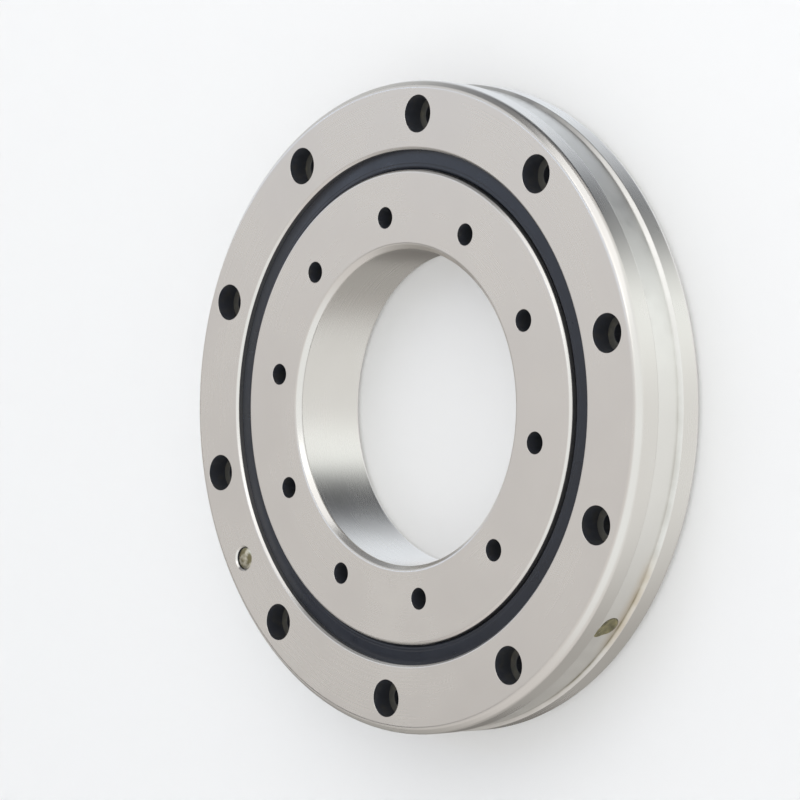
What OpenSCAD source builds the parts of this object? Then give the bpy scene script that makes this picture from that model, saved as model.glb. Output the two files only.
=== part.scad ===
// Crossed roller bearing with mounting holes in one-piece inner and outer rings.
// Lengths are in millimetres and angles in degrees. The origin is the centre of the bearing.
// +Z runs along the axis to the front face, and +X through a mounting hole of the outer ring.

/* [Rings] */
// Diameter of the bore through the inner ring
bore_d = 80; // [70:1:84]
// Outside diameter of the outer ring
outer_d = 165; // [160:1:180]
// Width of both rings, from face to face
ring_w = 22; // [21:0.5:30]
// Chamfer at both ends of the outer rim
rim_chamfer = 1.5; // [0.5:0.1:2.5]
// Chamfer at both ends of the bore
bore_chamfer = 1.3; // [0.5:0.1:2]

/* [Rollers] */
// How far the rollers' pitch circle lies outside the middle between bore and rim
pitch_shift = 0.75; // [0:0.05:1.5]
// Diameter of a roller
roller_d = 10; // [9:0.1:10.8]
// Length of a roller
roller_l = 9.4; // [8:0.1:9.8]
// Chamfer at both ends of a roller
roller_chamfer = 0.5; // [0.2:0.1:1]
// Least gap between two rollers on the pitch circle, where a spacer parts them
roller_gap = 1.4; // [1.2:0.1:3]
// Gap between a roller and the raceway on each side
raceway_clearance = 0.1; // [0.05:0.01:0.15]
// Width of the relief groove at the root of a raceway
relief_w = 1.6; // [1:0.1:3]
// Depth of the relief groove at the root of a raceway
relief_depth = 0.3; // [0.1:0.1:0.6]
// Gap between the two rings beside the raceway
land_gap = 1.4; // [0.8:0.1:2]

/* [Spacers] */
// Diameter of a spacer between two rollers
spacer_d = 9; // [7:0.1:9.6]
// Length of a spacer along the pitch circle
spacer_l = 4; // [3:0.1:5]
// Gap between a spacer's saddle and its roller
spacer_clearance = 0.1; // [0.05:0.01:0.2]

/* [Seals] */
// Depth of the seal's pocket below each face
seal_pocket_depth = 3; // [2.4:0.1:3.6]
// Distance from the pitch circle in to the pocket's wall on the inner ring
seal_reach_in = 2; // [1.6:0.1:3]
// Distance from the pitch circle out to the pocket's wall on the outer ring
seal_reach_out = 3; // [2.4:0.1:3.2]
// Chamfer where a pocket's wall meets the face
pocket_chamfer = 0.6; // [0.2:0.1:0.8]
// Thickness of a seal
seal_t = 1.6; // [1.4:0.1:2.2]
// Width of the bevel along both edges of a seal's face
seal_bevel = 0.9; // [0.5:0.1:1.2]
// Depth of the groove in the outer ring that holds the seal's bead
bead_groove_depth = 0.6; // [0.3:0.1:1]
// Width of the groove that holds the seal's bead
bead_groove_w = 0.8; // [0.5:0.1:1]
// Height of the bead's groove above the pocket's floor
bead_rise = 0.3; // [0.1:0.1:0.4]
// Height of the sealing lip's tip above the pocket's floor
lip_rise = 0.6; // [0.3:0.1:0.8]
// Thickness of the sealing lip at its tip
lip_t = 0.3; // [0.2:0.05:0.5]
// Gap between a seal and the outer ring that holds it
seal_seat_clearance = 0.05; // [0.02:0.01:0.1]
// Running gap between the sealing lip and the inner ring
lip_clearance = 0.08; // [0.05:0.01:0.15]

/* [Outer mounting holes] */
// Number of holes in the outer ring
outer_hole_count = 10; // [6:1:12]
// Distance from the rollers' pitch circle out to the outer mounting holes
outer_hole_reach = 12; // [11.5:0.1:13.5]
// Diameter of an outer mounting hole
outer_hole_d = 5.5; // [4:0.1:6]
// Diameter of an outer hole's counterbore, sunk from the front face
outer_counterbore_d = 9.5; // [7:0.1:10]
// Depth of an outer hole's counterbore
outer_counterbore_depth = 5.4; // [3:0.1:7]

/* [Inner mounting holes] */
// Number of holes in the inner ring
inner_hole_count = 10; // [6:1:12]
// Distance from the rollers' pitch circle in to the inner mounting holes
inner_hole_reach = 13.5; // [12.5:0.1:15]
// Diameter of an inner mounting hole
inner_hole_d = 5.5; // [4:0.1:6]
// Diameter of an inner hole's counterbore, sunk from the rear face
inner_counterbore_d = 9.5; // [7:0.1:10]
// Depth of an inner hole's counterbore
inner_counterbore_depth = 5.4; // [3:0.1:7]
// Angle of the first inner hole, where the inner ring came to rest
inner_hole_angle = 12; // [0:1:36]

/* [Grease groove and port] */
// Width of the groove's mouth round the outer rim
groove_w = 8.8; // [7:0.1:12]
// Depth of the groove, which has walls at 45 degrees
groove_depth = 0.9; // [0.5:0.1:2]
// Angle of the grease port
port_angle = -54; // [-60:1:-48]
// Tapping diameter of the grease port
port_d = 5; // [3:0.1:6]
// Depth of the tapped part of the port, from the rim
port_depth = 8; // [5:0.5:10]
// Diameter of the channel from the port to the raceway
channel_d = 2; // [1:0.1:3]

/* [Filler plug and pin] */
// Angle of the plug that closes the hole for putting the rollers in
plug_angle = 199.2; // [195:0.1:201]
// Diameter of the filler plug
plug_d = 15; // [14:0.1:16]
// Gap round the filler plug
plug_clearance = 0.02; // [0.01:0.01:0.05]
// Distance from the rollers' pitch circle out to the locking pin
pin_reach = 12; // [11:0.1:14]
// Diameter of the locking pin's hole at the front face
pin_d = 6; // [4:0.1:6.5]
// Length over which the pin gets 1 mm thinner towards the rear
pin_taper = 50; // [30:1:60]
// Depth of the pin's ends below the faces
pin_recess = 0.5; // [0.2:0.1:1]
// Gap round the locking pin
pin_clearance = 0.05; // [0.02:0.01:0.1]
// Width of the countersink at both ends of the pin's hole
pin_countersink = 0.4; // [0.2:0.1:0.8]

/* [Hidden] */
$fn = 96;
// How far a cutter runs past the surface that it cuts
overcut = 1;
roller_tilt = 45;

outer_r = outer_d / 2;
bore_r = bore_d / 2;
half_w = ring_w / 2;
pitch_r = (bore_r + outer_r) / 2 + pitch_shift;
// As many rollers as have room, and an even number, because each lies crosswise to the next
roller_count = 2 * floor(PI * pitch_r / (roller_d + roller_gap));
roller_step = 360 / roller_count;

// The raceways make a square channel that stands on its corner, this far from pitch circle to corner
channel_reach = (roller_d / 2 + raceway_clearance) * sqrt(2);
relief_half = relief_w / 2;
relief_reach = channel_reach - relief_half;
land_z = channel_reach - land_gap / 2;
outer_land_r = pitch_r + land_gap / 2;
inner_land_r = pitch_r - land_gap / 2;

seal_floor_z = half_w - seal_pocket_depth;
seal_wall_in_r = pitch_r - seal_reach_in;
seal_wall_out_r = pitch_r + seal_reach_out;
bead_low_z = seal_floor_z + bead_rise;
bead_high_z = bead_low_z + bead_groove_w;
bead_r = seal_wall_out_r + bead_groove_depth;

groove_half = groove_w / 2;
pin_hole_rear_d = pin_d - ring_w / pin_taper;

function roller_name(i) = str("roller_", i < 9 ? "0" : "", i + 1);
function roller_angle(i) = i * roller_step;
// Rollers lean outwards and inwards in turn
function lean(i) = i % 2 == 0 ? roller_tilt : -roller_tilt;

// A section that is the same above and below z = 0, from the points of its upper half in order
function mirrored_section(upper) = concat(
    upper,
    [for (i = [len(upper) - 1 : -1 : 0]) [upper[i][0], -upper[i][1]]]
);

// Upper half of the outer ring's section, from the raceway's root round to the rim
function outer_upper() = [
    [pitch_r + relief_reach + relief_depth, relief_half],
    [pitch_r + relief_reach, relief_half],
    [outer_land_r, land_z],
    [outer_land_r, seal_floor_z],
    [seal_wall_out_r, seal_floor_z],
    [seal_wall_out_r, bead_low_z],
    [bead_r, bead_low_z],
    [bead_r, bead_high_z],
    [seal_wall_out_r, bead_high_z],
    [seal_wall_out_r, half_w - pocket_chamfer],
    [seal_wall_out_r + pocket_chamfer, half_w],
    [outer_r - rim_chamfer, half_w],
    [outer_r, half_w - rim_chamfer],
    [outer_r, groove_half],
    [outer_r - groove_depth, groove_half - groove_depth]
];

// Upper half of the inner ring's section, from the raceway's root round to the bore
function inner_upper() = [
    [pitch_r - relief_reach - relief_depth, relief_half],
    [pitch_r - relief_reach, relief_half],
    [inner_land_r, land_z],
    [inner_land_r, seal_floor_z],
    [seal_wall_in_r, seal_floor_z],
    [seal_wall_in_r, half_w - pocket_chamfer],
    [seal_wall_in_r - pocket_chamfer, half_w],
    [bore_r + bore_chamfer, half_w],
    [bore_r, half_w - bore_chamfer]
];

// A seal's section: a foot on the pocket's floor, a bead in its groove, and a lip towards the inner ring
function seal_points() =
    let (
        foot_r = seal_wall_out_r - seal_seat_clearance,
        lip_r = seal_wall_in_r + lip_clearance,
        lip_z = seal_floor_z + lip_rise,
        face_z = seal_floor_z + seal_t
    ) [
        [outer_land_r + seal_seat_clearance, seal_floor_z],
        [foot_r, seal_floor_z],
        [foot_r, bead_low_z + seal_seat_clearance],
        [bead_r - seal_seat_clearance, bead_low_z + seal_seat_clearance],
        [bead_r - seal_seat_clearance, bead_high_z - seal_seat_clearance],
        [foot_r, bead_high_z - seal_seat_clearance],
        [foot_r - seal_bevel, face_z],
        [lip_r + seal_bevel, face_z],
        [lip_r, lip_z + lip_t],
        [lip_r, lip_z],
        [inner_land_r, lip_z]
    ];

// Copies of a thing in a ring about the axis
module around(count, circle_r, first_angle = 0) {
    for (i = [0 : count - 1])
        rotate([0, 0, first_angle + i * 360 / count])
            translate([circle_r, 0, 0])
                children();
}

// A through hole with a counterbore sunk from the front face
module counterbored_hole(hole_d, counterbore_d, counterbore_depth) {
    cylinder(h = ring_w + 2 * overcut, d = hole_d, center = true);
    translate([0, 0, half_w - counterbore_depth])
        cylinder(h = counterbore_depth + overcut, d = counterbore_d);
}

// A round bar that points outwards from the axis, between two radii
module radial_bar(from_r, to_r, d) {
    translate([from_r, 0, 0])
        rotate([0, 90, 0])
            cylinder(h = to_r - from_r, d = d);
}

// The taper hole of the locking pin, made smaller all round by a gap
module taper_bar(from_z, to_z, gap) {
    rear_d = pin_hole_rear_d + (from_z + half_w) / pin_taper - 2 * gap;
    front_d = pin_hole_rear_d + (to_z + half_w) / pin_taper - 2 * gap;
    translate([0, 0, from_z])
        cylinder(h = to_z - from_z, d1 = rear_d, d2 = front_d);
}

module at_pin() {
    rotate([0, 0, plug_angle])
        translate([pitch_r + pin_reach, 0, 0])
            children();
}

// A cone that breaks the edge of a hole at the front face
module countersink(hole_d, w) {
    translate([0, 0, half_w - w])
        cylinder(h = 2 * w, d1 = hole_d, d2 = hole_d + 4 * w);
}

module pin_hole() {
    at_pin() {
        taper_bar(-half_w - overcut, half_w + overcut, 0);
        countersink(pin_d, pin_countersink);
        mirror([0, 0, 1])
            countersink(pin_hole_rear_d, pin_countersink);
    }
}

module plug_bar(gap) {
    rotate([0, 0, plug_angle])
        radial_bar(pitch_r - roller_d / 2, outer_r + overcut, plug_d + 2 * gap);
}

module grease_port() {
    rotate([0, 0, port_angle]) {
        radial_bar(outer_r - port_depth, outer_r + overcut, port_d);
        radial_bar(pitch_r, outer_r - port_depth + overcut, channel_d);
    }
}

// The outer ring as turned, before it is drilled
module outer_blank() {
    rotate_extrude()
        polygon(mirrored_section(outer_upper()));
}

module outer_ring() {
    color("silver")
        difference() {
            outer_blank();
            around(outer_hole_count, pitch_r + outer_hole_reach)
                counterbored_hole(outer_hole_d, outer_counterbore_d, outer_counterbore_depth);
            plug_bar(plug_clearance);
            pin_hole();
            grease_port();
        }
}

module inner_ring() {
    color("silver")
        difference() {
            rotate_extrude()
                polygon(mirrored_section(inner_upper()));
            around(inner_hole_count, pitch_r - inner_hole_reach, inner_hole_angle)
                mirror([0, 0, 1])
                    counterbored_hole(inner_hole_d, inner_counterbore_d, inner_counterbore_depth);
        }
}

// The plug carries on the raceway, the rim and the groove of the ring that it closes
module filler_plug() {
    color("silver")
        difference() {
            intersection() {
                outer_blank();
                plug_bar(0);
            }
            pin_hole();
        }
}

module plug_pin() {
    color("darkkhaki")
        at_pin()
            taper_bar(-half_w + pin_recess, half_w - pin_recess, pin_clearance);
}

module front_seal() {
    color("darkslategray")
        rotate_extrude()
            polygon(seal_points());
}

module rear_seal() {
    mirror([0, 0, 1])
        front_seal();
}

// A bar on a roller's axis, with its end chamfers
module roller_bar(d, l, chamfer) {
    rotate_extrude()
        polygon([
            [0, -l / 2],
            [d / 2 - chamfer, -l / 2],
            [d / 2, -l / 2 + chamfer],
            [d / 2, l / 2 - chamfer],
            [d / 2 - chamfer, l / 2],
            [0, l / 2]
        ]);
}

module at_roller(angle, tilt) {
    rotate([0, 0, angle])
        translate([pitch_r, 0, 0])
            rotate([0, tilt, 0])
                children();
}

module roller(i) {
    color("gainsboro")
        at_roller(roller_angle(i), lean(i))
            roller_bar(roller_d, roller_l, roller_chamfer);
}

// A short bar along the pitch circle, hollowed at each end to the roller that it keeps apart
module spacer(i) {
    saddle_d = roller_d + 2 * spacer_clearance;
    saddle_l = spacer_d + spacer_l + roller_l;
    difference() {
        rotate([0, 0, roller_angle(i) + roller_step / 2])
            translate([pitch_r, 0, 0])
                rotate([90, 0, 0])
                    cylinder(h = spacer_l, d = spacer_d, center = true);
        for (k = [i, i + 1])
            at_roller(roller_angle(k), lean(k))
                cylinder(h = saddle_l, d = saddle_d, center = true);
    }
}

module roller_spacers() {
    color("saddlebrown")
        for (i = [0 : roller_count - 1])
            spacer(i);
}

outer_ring();
inner_ring();
filler_plug();
plug_pin();
front_seal();
rear_seal();
roller_spacers();
for (i = [0 : roller_count - 1])
    roller(i);
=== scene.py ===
"""Looks of a crossed roller bearing: rings, seals, filler plug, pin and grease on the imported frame."""

import logging
import math
from dataclasses import dataclass, field
from enum import Enum
from typing import Any, Callable, Sequence

import bpy
from mathutils import Euler, Matrix, Vector


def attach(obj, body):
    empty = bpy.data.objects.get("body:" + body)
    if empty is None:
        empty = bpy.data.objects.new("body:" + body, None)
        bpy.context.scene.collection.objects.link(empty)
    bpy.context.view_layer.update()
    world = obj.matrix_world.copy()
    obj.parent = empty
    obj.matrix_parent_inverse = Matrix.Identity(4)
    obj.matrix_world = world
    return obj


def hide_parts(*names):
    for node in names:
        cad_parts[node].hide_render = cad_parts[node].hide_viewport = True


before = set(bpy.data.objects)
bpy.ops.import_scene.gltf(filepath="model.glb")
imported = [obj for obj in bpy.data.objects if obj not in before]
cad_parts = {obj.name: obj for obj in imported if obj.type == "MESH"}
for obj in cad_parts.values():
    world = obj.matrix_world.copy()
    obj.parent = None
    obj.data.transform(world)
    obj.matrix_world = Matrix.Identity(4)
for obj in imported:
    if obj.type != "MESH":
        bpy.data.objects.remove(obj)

MM = 0.001
X_AXIS, Z_AXIS = Vector((1, 0, 0)), Vector((0, 0, 1))
# Half of the bearing's width, in mm
HALF_W = 11.0
# How far a cutter runs past the surface that it cuts, in mm
OVERCUT = 1.0
# How far the middle of a turned face may lie off its circle or height, in mm
FACE_SLACK = 0.02
# Points that lie closer together than this are one point, in metres
SAME_PLACE = 1e-7
# Number of flats on a rounded corner
ROUND_STEPS = 5
# Number of steps in a turn: rings and seals, the filler plug, screw holes and pin, and the grease port
RING_STEPS, PLUG_STEPS, HOLE_STEPS, PORT_STEPS = 240, 96, 64, 48
# Nearly all values of a noise texture lie between these
NOISE_LOW, NOISE_HIGH = 0.3, 0.7
# Sockets of a Mix node that mixes colours, which has others of the same names
MIX_SHARE, MIX_FROM, MIX_TO, MIX_RESULT = 0, 6, 7, 2
log = logging.getLogger("bearing")


class Side(Enum):
    """The two faces of the bearing, by the sign of their height."""

    FRONT = 1
    REAR = -1


class Ring(Enum):
    """The two rings, by the sign of the way from the rollers into them."""

    OUTER = 1
    INNER = -1


class Keep(Enum):
    """What a cut leaves of a piece, as the Boolean modifier names it."""

    OUTSIDE = "DIFFERENCE"
    INSIDE = "INTERSECT"


# Small tools


def linear(colour: str) -> tuple[float, float, float, float]:
    """Turns an sRGB hex colour to linear.

    Args:
        colour: Six hex digits.

    Returns:
        Red, green and blue from 0 to 1, and an alpha of 1.
    """
    parts = [int(colour[i:i + 2], 16) / 255 for i in (0, 2, 4)]
    red, green, blue = (p / 12.92 if p <= 0.04045 else ((p + 0.055) / 1.055) ** 2.4 for p in parts)
    return red, green, blue, 1.0


def feed(tree: bpy.types.NodeTree, node: bpy.types.Node, inputs: dict[str | int, Any]) -> None:
    """Sets or links the inputs of a node.

    Args:
        tree: The tree that the node is in.
        node: The node.
        inputs: A value, or the output socket of another node, for each input by name or number.
    """
    for key, value in inputs.items():
        if isinstance(value, bpy.types.NodeSocket):
            tree.links.new(value, node.inputs[key])
        else:
            node.inputs[key].default_value = value


def add_node(tree: bpy.types.NodeTree, kind: str, inputs: dict[str | int, Any] | None = None,
             **settings: Any) -> bpy.types.Node:
    """Adds a node with its settings and links.

    Args:
        tree: The tree that the node joins.
        kind: The node's type.
        inputs: A value, or the output socket of another node, for each input by name or number.
        settings: Properties of the node.

    Returns:
        The new node.
    """
    node = tree.nodes.new(kind)
    for key, value in settings.items():
        setattr(node, key, value)
    feed(tree, node, inputs or {})
    return node


def new_material(name: str) -> tuple[bpy.types.Material, bpy.types.NodeTree, bpy.types.Node]:
    """Makes a material with one Principled shader.

    Args:
        name: The material's name.

    Returns:
        The material, its node tree and the shader.
    """
    material = bpy.data.materials.new(name)
    material.use_nodes = True
    tree = material.node_tree
    tree.nodes.clear()
    shader = add_node(tree, "ShaderNodeBsdfPrincipled")
    add_node(tree, "ShaderNodeOutputMaterial", {"Surface": shader.outputs[0]})
    return material, tree, shader


def axis_coordinates(tree: bpy.types.NodeTree) -> bpy.types.NodeSocket:
    """Gives distance from the bearing's axis and height as a vector, for marks that run round the axis.

    Args:
        tree: The tree that the nodes join.

    Returns:
        A vector socket: distance from the axis, height, nothing.
    """
    place = add_node(tree, "ShaderNodeTexCoord").outputs["Object"]
    parts = add_node(tree, "ShaderNodeSeparateXYZ", {0: place})
    flat = add_node(tree, "ShaderNodeCombineXYZ", {0: parts.outputs[0], 1: parts.outputs[1]})
    distance = add_node(tree, "ShaderNodeVectorMath", {0: flat.outputs[0]}, operation="LENGTH")
    both = add_node(tree, "ShaderNodeCombineXYZ", {0: distance.outputs["Value"], 1: parts.outputs[2]})
    return both.outputs[0]


def clouded(tree: bpy.types.NodeTree, colours: tuple[str, str], size_mm: float,
            band: tuple[float, float] = (0.0, 1.0), most: float = 1.0, detail: float = 4.0,
            ) -> tuple[bpy.types.NodeSocket, bpy.types.NodeSocket]:
    """Mixes two colours by clouds on the piece.

    Args:
        tree: The tree that the nodes join.
        colours: Hex colours outside and inside the clouds.
        size_mm: The clouds' size.
        band: Where in the clouds' range the second colour starts and where it is full.
        most: The share of the second colour where it is full.
        detail: How many times smaller clouds lie in them.

    Returns:
        The clouds, from 0 to 1, and the colour.
    """
    place = add_node(tree, "ShaderNodeTexCoord").outputs["Object"]
    clouds = add_node(tree, "ShaderNodeTexNoise",
                      {"Vector": place, "Scale": 1 / (size_mm * MM), "Detail": detail}).outputs[0]
    share = add_node(tree, "ShaderNodeMapRange",
                     {"Value": clouds, "From Min": band[0], "From Max": band[1], "To Max": most})
    outside, inside = (linear(colour) for colour in colours)
    mixed = add_node(tree, "ShaderNodeMix",
                     {MIX_SHARE: share.outputs[0], MIX_FROM: outside, MIX_TO: inside}, data_type="RGBA")
    return clouds, mixed.outputs[MIX_RESULT]


def only(piece: bpy.types.Object) -> None:
    """Selects one piece alone and makes it active.

    Args:
        piece: The piece.
    """
    bpy.ops.object.select_all(action="DESELECT")
    piece.select_set(True)
    bpy.context.view_layer.objects.active = piece


def pick_points(piece: bpy.types.Object, wanted: Callable[[Vector], bool]) -> None:
    """Goes to edit mode with only some of a piece's points selected.

    Args:
        piece: The active piece.
        wanted: Says whether a point is selected, from its place.
    """
    bpy.ops.object.mode_set(mode="EDIT")
    bpy.ops.mesh.select_mode(type="VERT")
    bpy.ops.mesh.select_all(action="DESELECT")
    bpy.ops.object.mode_set(mode="OBJECT")
    for point in piece.data.vertices:
        point.select = wanted(point.co)
    bpy.ops.object.mode_set(mode="EDIT")


def paint_faces(piece: bpy.types.Object, material: bpy.types.Material,
                wanted: Callable[[float, float], bool]) -> None:
    """Gives a material to the faces of a turned piece that lie in one place.

    Args:
        piece: The piece.
        material: The material, which joins the piece's slots.
        wanted: Says whether a face is painted, from its distance to the axis and its height in mm.
    """
    only(piece)
    piece.data.materials.append(material)
    piece.active_material_index = len(piece.data.materials) - 1
    bpy.ops.object.mode_set(mode="EDIT")
    bpy.ops.mesh.select_mode(type="FACE")
    bpy.ops.mesh.select_all(action="DESELECT")
    bpy.ops.object.mode_set(mode="OBJECT")
    for face in piece.data.polygons:
        face.select = wanted(face.center.xy.length / MM, face.center.z / MM)
    bpy.ops.object.mode_set(mode="EDIT")
    bpy.ops.object.material_slot_assign()
    bpy.ops.object.mode_set(mode="OBJECT")


def paint_near(piece: bpy.types.Object, material: bpy.types.Material, middle: Vector, reach: float) -> None:
    """Gives a material to the faces of a piece that lie near a line along the bearing's axis.

    Args:
        piece: The piece.
        material: The material, which joins the piece's slots.
        middle: A point on the line, in metres.
        reach: How far from the line a face may lie, in mm.
    """
    piece.data.materials.append(material)
    for face in piece.data.polygons:
        if (face.center - middle).xy.length < reach * MM:
            face.material_index = len(piece.data.materials) - 1


def apply_modifier(piece: bpy.types.Object, kind: str, **settings: Any) -> None:
    """Adds a modifier to a piece and applies it.

    Args:
        piece: The piece.
        kind: The modifier's type.
        settings: Properties of the modifier.
    """
    only(piece)
    modifier = piece.modifiers.new(kind.lower(), kind)
    for key, value in settings.items():
        setattr(modifier, key, value)
    bpy.ops.object.modifier_apply(modifier=modifier.name)


def cut(piece: bpy.types.Object, cutter: bpy.types.Object, keep: Keep = Keep.OUTSIDE) -> None:
    """Cuts a piece with another, which is used up. New faces keep the cutter's material.

    Args:
        piece: The piece to cut.
        cutter: The closed shape that cuts it.
        keep: What is left of the piece.
    """
    apply_modifier(piece, "BOOLEAN", operation=keep.value, object=cutter, solver="EXACT",
                   material_mode="TRANSFER")
    bpy.data.objects.remove(cutter)


def smooth(piece: bpy.types.Object, angle: float = 32) -> None:
    """Smooths a piece's curved faces and keeps its flats flat.

    Args:
        piece: The piece.
        angle: The angle in degrees above which an edge stays sharp.
    """
    only(piece)
    bpy.ops.object.shade_smooth_by_angle(angle=math.radians(angle))
    apply_modifier(piece, "WEIGHTED_NORMAL", mode="FACE_AREA", weight=80, keep_sharp=True)


# Turning and drilling


@dataclass(frozen=True)
class Corner:
    """A corner of a turned section in mm: distance from the axis, height, and how far it is rounded."""

    r: float
    z: float
    rounding: float = 0.0


def mirrored(upper: Sequence[Corner]) -> list[Corner]:
    """Completes a section that is the same above and below z = 0 from the corners of its upper half."""
    return [*upper, *(Corner(c.r, -c.z, c.rounding) for c in reversed(upper))]


@dataclass(frozen=True)
class Lathe:
    """An axis that sections are turned about."""

    centre: Vector = field(default_factory=Vector)
    axis: Vector = field(default_factory=Z_AXIS.copy)
    across: Vector = field(default_factory=X_AXIS.copy)

    def place(self, corner: Corner) -> Vector:
        """Gives a corner's place before it is turned, in metres."""
        return (self.centre + self.across * corner.r + self.axis * corner.z) * MM

    def turn(self, name: str, corners: Sequence[Corner], steps: int, closed: bool = True) -> bpy.types.Object:
        """Draws a section corner by corner, rounds its corners and spins it round the axis.

        Args:
            name: The new piece's name.
            corners: The section's corners in order.
            steps: The number of steps in a turn.
            closed: Whether the section closes on itself, or starts and ends on the axis.

        Returns:
            The turned piece, closed and with its faces outwards.
        """
        places = [self.place(c) for c in corners]
        bpy.ops.object.select_all(action="DESELECT")
        bpy.ops.mesh.primitive_plane_add(size=MM, enter_editmode=True, location=(0, 0, 0))
        piece = bpy.context.object
        piece.name = piece.data.name = name
        bpy.ops.mesh.select_mode(type="VERT")
        bpy.ops.mesh.select_all(action="SELECT")
        bpy.ops.mesh.merge(type="CENTER")
        bpy.ops.transform.translate(value=places[0])
        for here, there in zip(places, places[1:]):
            bpy.ops.mesh.extrude_region_move(TRANSFORM_OT_translate={"value": there - here})
        if closed:
            pick_points(piece, lambda p: min((p - places[0]).length, (p - places[-1]).length) < SAME_PLACE)
            bpy.ops.mesh.edge_face_add()
        for rounding in sorted({c.rounding for c in corners} - {0.0}):
            sharp = [p for p, c in zip(places, corners) if c.rounding == rounding]
            pick_points(piece, lambda p: any((p - s).length < SAME_PLACE for s in sharp))
            bpy.ops.mesh.bevel(offset=rounding * MM, segments=ROUND_STEPS, affect="VERTICES",
                               clamp_overlap=False)
        bpy.ops.mesh.select_all(action="SELECT")
        bpy.ops.mesh.spin(steps=steps, angle=math.tau, center=self.centre * MM, axis=self.axis)
        bpy.ops.mesh.select_all(action="SELECT")
        bpy.ops.mesh.remove_doubles(threshold=SAME_PLACE)
        bpy.ops.mesh.normals_make_consistent(inside=False)
        bpy.ops.object.mode_set(mode="OBJECT")
        return piece


def polar(radius: float, degrees: float) -> Vector:
    """Gives a point in the plane of the bearing from its distance to the axis and its angle."""
    turn = math.radians(degrees)
    return Vector((radius * math.cos(turn), radius * math.sin(turn), 0))


def upright_at(radius: float, degrees: float) -> Lathe:
    """Gives a lathe for a hole or pin along the bearing's axis."""
    return Lathe(centre=polar(radius, degrees), across=polar(1, degrees))


def radial_at(degrees: float) -> Lathe:
    """Gives a lathe for a hole or plug that points outwards from the bearing's axis."""
    return Lathe(axis=polar(1, degrees), across=Z_AXIS.copy())


@dataclass(frozen=True)
class ScrewHoles:
    """A ring of through holes with counterbores for the heads of socket screws, in mm."""

    circle_r: float
    first_angle: float
    counterbored: Side
    count: int = 10
    hole_r: float = 2.75
    head_r: float = 4.75
    head_depth: float = 5.4
    broken_edge: float = 0.05

    def cutter(self, walls: bpy.types.Material, floors: bpy.types.Material,
               edges: bpy.types.Material) -> bpy.types.Object:
        """Models the first hole's shape and copies it round the bearing's axis.

        Args:
            walls: The finish of the holes' walls.
            floors: The finish of the counterbores' floors, lighter than the walls partly as painted light.
            edges: The finish of the holes' broken edges.

        Returns:
            The shape of all the holes.
        """
        edge, flare = self.broken_edge, self.broken_edge + OVERCUT
        floor_z, past_z = HALF_W - self.head_depth, HALF_W + OVERCUT
        profile = [
            (0, -past_z), (self.hole_r + flare, -past_z), (self.hole_r, -HALF_W + edge),
            (self.hole_r, floor_z - edge), (self.hole_r + edge, floor_z), (self.head_r, floor_z),
            (self.head_r, HALF_W - edge), (self.head_r + flare, past_z), (0, past_z),
        ]
        flip = self.counterbored.value
        lathe = upright_at(self.circle_r, self.first_angle)
        corners = [Corner(r, flip * z) for r, z in profile]
        piece = lathe.turn("screw_holes", corners, HOLE_STEPS, closed=False)
        piece.data.materials.append(walls)
        paint_faces(piece, floors, lambda r, z: abs(flip * z - floor_z) < FACE_SLACK)
        paint_faces(piece, edges, lambda r, z: abs(z) > HALF_W)
        bpy.ops.object.mode_set(mode="EDIT")
        bpy.ops.mesh.select_all(action="SELECT")
        bpy.ops.mesh.spin(steps=self.count - 1, dupli=True, angle=math.tau * (1 - 1 / self.count),
                          center=(0, 0, 0), axis=(0, 0, 1))
        bpy.ops.object.mode_set(mode="OBJECT")
        return piece


# Finishes


@dataclass(frozen=True)
class GroundSteel:
    """Hardened bearing steel, ground: pale warm grey and satin, with fine marks round the axis."""

    name: str = "bearing_steel_ground"
    pale: str = "D3D1CD"
    warm: str = "CDC9C4"
    # Roughness from the best wiped to the most smudged places, and what the marks add to it
    roughness: tuple[float, float] = (0.22, 0.29)
    mark_roughness: float = 0.06
    # Real grinding marks are about 0.02 mm apart; these are drawn coarser, so that they show
    mark_mm: float = 0.35
    mark_strength: float = 0.04
    mark_height_mm: float = 0.02
    # Width of the smudges that oil and wiping leave, and how strong the smaller ones in them are
    smudge_mm: float = 26.0
    smudge_roughness: float = 0.55
    # Slow waves that grinding leaves, which make long reflections waver
    wave_mm: float = 13.0
    wave_height_mm: float = 0.05

    def make(self) -> bpy.types.Material:
        """Builds the material.

        Returns:
            The finished material.
        """
        material, tree, shader = new_material(self.name)
        place = add_node(tree, "ShaderNodeTexCoord").outputs["Object"]
        marks = add_node(tree, "ShaderNodeTexNoise",
                         {"Vector": axis_coordinates(tree), "Scale": 1 / (self.mark_mm * MM), "Detail": 3.0},
                         noise_dimensions="2D")
        smudges, colour = clouded(tree, (self.pale, self.warm), self.smudge_mm)
        feed(tree, smudges.node, {"Roughness": self.smudge_roughness})
        satin = add_node(tree, "ShaderNodeMapRange",
                         {"Value": smudges, "From Min": NOISE_LOW, "From Max": NOISE_HIGH,
                          "To Min": self.roughness[0], "To Max": self.roughness[1]})
        grain = add_node(tree, "ShaderNodeMath",
                         {0: marks.outputs[0], 1: self.mark_roughness, 2: satin.outputs[0]},
                         operation="MULTIPLY_ADD")
        waves = add_node(tree, "ShaderNodeTexNoise",
                         {"Vector": place, "Scale": 1 / (self.wave_mm * MM), "Detail": 1.0})
        swell = add_node(tree, "ShaderNodeBump",
                         {"Strength": 1.0, "Distance": self.wave_height_mm * MM, "Height": waves.outputs[0]})
        relief = add_node(tree, "ShaderNodeBump",
                          {"Strength": self.mark_strength, "Distance": self.mark_height_mm * MM,
                           "Height": marks.outputs[0], "Normal": swell.outputs[0]})
        feed(tree, shader, {"Base Color": colour, "Roughness": grain.outputs[0],
                            "Normal": relief.outputs[0], "Metallic": 1.0})
        return material


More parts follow.
